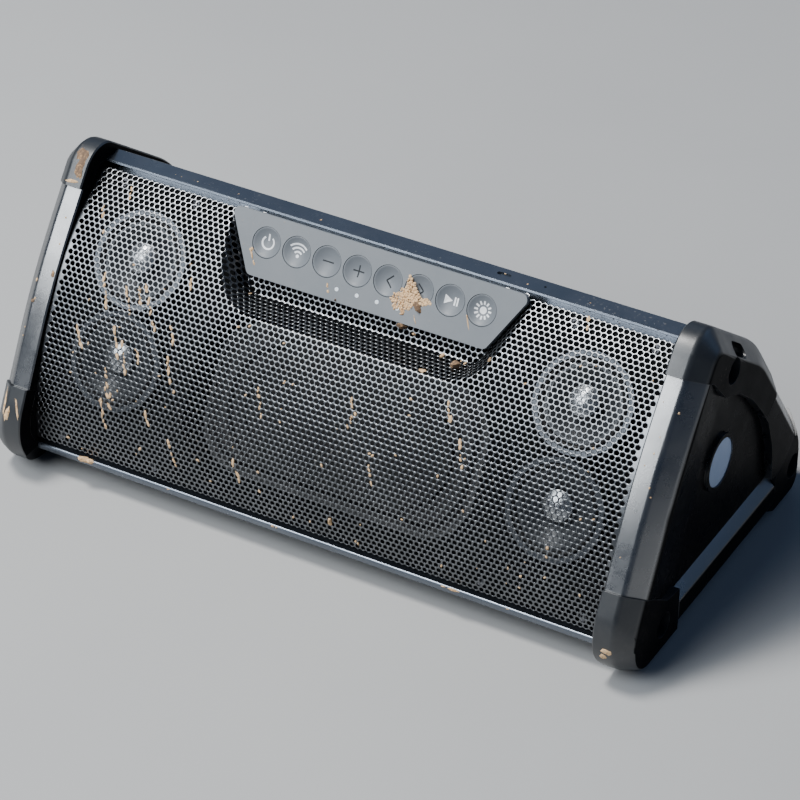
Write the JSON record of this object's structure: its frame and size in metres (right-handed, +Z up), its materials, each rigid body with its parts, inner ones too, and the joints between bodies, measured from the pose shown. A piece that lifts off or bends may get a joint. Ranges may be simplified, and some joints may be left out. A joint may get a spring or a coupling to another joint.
{
  "type": "portable bluetooth speaker",
  "caption": "Wedge-shaped portable speaker with a perforated bowed front, a button panel, rubber-cornered end caps and a hinged port cover.",
  "frame": {"origin": "middle of the footprint, on the surface the speaker stands on", "axes": "+X along the length, to the right seen from the front; -Y towards the front; +Z up"},
  "size_m": [0.342, 0.193, 0.1474],
  "materials": {
    "bumper_rubber": "satin",
    "cap_plastic": "satin",
    "skid_plastic": "satin",
    "disc_metal": "satin",
    "screw_steel": "black oxide",
    "grille_metal": "satin metallic",
    "rail_metal": "satin",
    "panel_rubber": "soft touch",
    "button_rubber": "soft touch",
    "lens": "milky",
    "board": "solder mask",
    "switch_plastic": "matt",
    "basket_steel": "satin",
    "magnet_steel": "plain",
    "surround_rubber": "matt",
    "cone": "matt, metallised dust cap",
    "radiator_plate": "matt",
    "socket_metal": "plain",
    "battery_wrap": "shrink wrap",
    "housing_plastic": "fine texture"
  },
  "bodies": {
    "cabinet": {"amplifier_board": "board", "baffle_screws": "screw_steel", "battery_pack": "battery_wrap", "bottom_rail": "rail_metal", "cabinet_shell": "housing_plastic", "control_board": "board", "control_panel": "panel_rubber", "front_baffle": "housing_plastic", "front_grille": "grille_metal", "key_switches": "switch_plastic", "left_bumper_front": "bumper_rubber", "left_bumper_rear": "bumper_rubber", "left_bumper_top": "bumper_rubber", "left_cap_disc": "disc_metal", "left_cap_screws": "screw_steel", "left_end_cap": "cap_plastic", "left_lower_basket": "basket_steel", "left_lower_magnet": "magnet_steel", "left_lower_surround": "surround_rubber", "left_skid_bar": "skid_plastic", "left_upper_basket": "basket_steel", "left_upper_magnet": "magnet_steel", "left_upper_surround": "surround_rubber", "panel_lights": "lens", "port_hinge_pin": "screw_steel", "port_panel": "housing_plastic", "port_sockets": "socket_metal", "radiator_frame": "housing_plastic", "radiator_surround": "surround_rubber", "right_bumper_front": "bumper_rubber", "right_bumper_rear": "bumper_rubber", "right_bumper_top": "bumper_rubber", "right_cap_disc": "disc_metal", "right_cap_screws": "screw_steel", "right_end_cap": "cap_plastic", "right_lower_basket": "basket_steel", "right_lower_magnet": "magnet_steel", "right_lower_surround": "surround_rubber", "right_skid_bar": "skid_plastic", "right_upper_basket": "basket_steel", "right_upper_magnet": "magnet_steel", "right_upper_surround": "surround_rubber", "top_rail": "rail_metal"},
    "button_light": {"button_light": "button_rubber"},
    "button_minus": {"button_minus": "button_rubber"},
    "button_next": {"button_next": "button_rubber"},
    "button_play": {"button_play": "button_rubber"},
    "button_plus": {"button_plus": "button_rubber"},
    "button_power": {"button_power": "button_rubber"},
    "button_previous": {"button_previous": "button_rubber"},
    "button_wireless": {"button_wireless": "button_rubber"},
    "left_lower_cone": {"left_lower_cone": "cone"},
    "left_upper_cone": {"left_upper_cone": "cone"},
    "port_cover": {"port_cover": "housing_plastic"},
    "radiator_plate": {"radiator_plate": "radiator_plate"},
    "right_lower_cone": {"right_lower_cone": "cone"},
    "right_upper_cone": {"right_upper_cone": "cone"}
  },
  "joints": [
    {"name": "power_press", "type": "slide", "parent": "cabinet", "child": "button_power", "axis": [0, 0.8712, -0.4909], "range_m": [0, 0.0008], "stiffness_N_per_m": 1500},
    {"name": "wireless_press", "type": "slide", "parent": "cabinet", "child": "button_wireless", "axis": [0, 0.8712, -0.4909], "range_m": [0, 0.0008], "stiffness_N_per_m": 1500},
    {"name": "minus_press", "type": "slide", "parent": "cabinet", "child": "button_minus", "axis": [0, 0.8712, -0.4909], "range_m": [0, 0.0008], "stiffness_N_per_m": 1500},
    {"name": "plus_press", "type": "slide", "parent": "cabinet", "child": "button_plus", "axis": [0, 0.8712, -0.4909], "range_m": [0, 0.0008], "stiffness_N_per_m": 1500},
    {"name": "previous_press", "type": "slide", "parent": "cabinet", "child": "button_previous", "axis": [0, 0.8712, -0.4909], "range_m": [0, 0.0008], "stiffness_N_per_m": 1500},
    {"name": "next_press", "type": "slide", "parent": "cabinet", "child": "button_next", "axis": [0, 0.8712, -0.4909], "range_m": [0, 0.0008], "stiffness_N_per_m": 1500},
    {"name": "play_press", "type": "slide", "parent": "cabinet", "child": "button_play", "axis": [0, 0.8712, -0.4909], "range_m": [0, 0.0008], "stiffness_N_per_m": 1500},
    {"name": "light_press", "type": "slide", "parent": "cabinet", "child": "button_light", "axis": [0, 0.8712, -0.4909], "range_m": [0, 0.0008], "stiffness_N_per_m": 1500},
    {"name": "left_upper_cone_travel", "type": "slide", "parent": "cabinet", "child": "left_upper_cone", "axis": [0, -0.7727, 0.6347], "range_m": [-0.0015, 0.0015], "stiffness_N_per_m": 1800},
    {"name": "left_lower_cone_travel", "type": "slide", "parent": "cabinet", "child": "left_lower_cone", "axis": [0, -0.9033, 0.4289], "range_m": [-0.0015, 0.0015], "stiffness_N_per_m": 1800},
    {"name": "right_upper_cone_travel", "type": "slide", "parent": "cabinet", "child": "right_upper_cone", "axis": [0, -0.7727, 0.6347], "range_m": [-0.0015, 0.0015], "stiffness_N_per_m": 1800},
    {"name": "right_lower_cone_travel", "type": "slide", "parent": "cabinet", "child": "right_lower_cone", "axis": [0, -0.9033, 0.4289], "range_m": [-0.0015, 0.0015], "stiffness_N_per_m": 1800},
    {"name": "radiator_travel", "type": "slide", "parent": "cabinet", "child": "radiator_plate", "axis": [0, -0.8712, 0.4909], "range_m": [-0.0025, 0.0025], "stiffness_N_per_m": 800},
    {"name": "port_cover_hinge", "type": "hinge", "parent": "cabinet", "child": "port_cover", "pos_m": [0, 0.06856, 0.0556], "axis": [-1, 0, 0], "range_deg": [0, 95]}
  ]
}
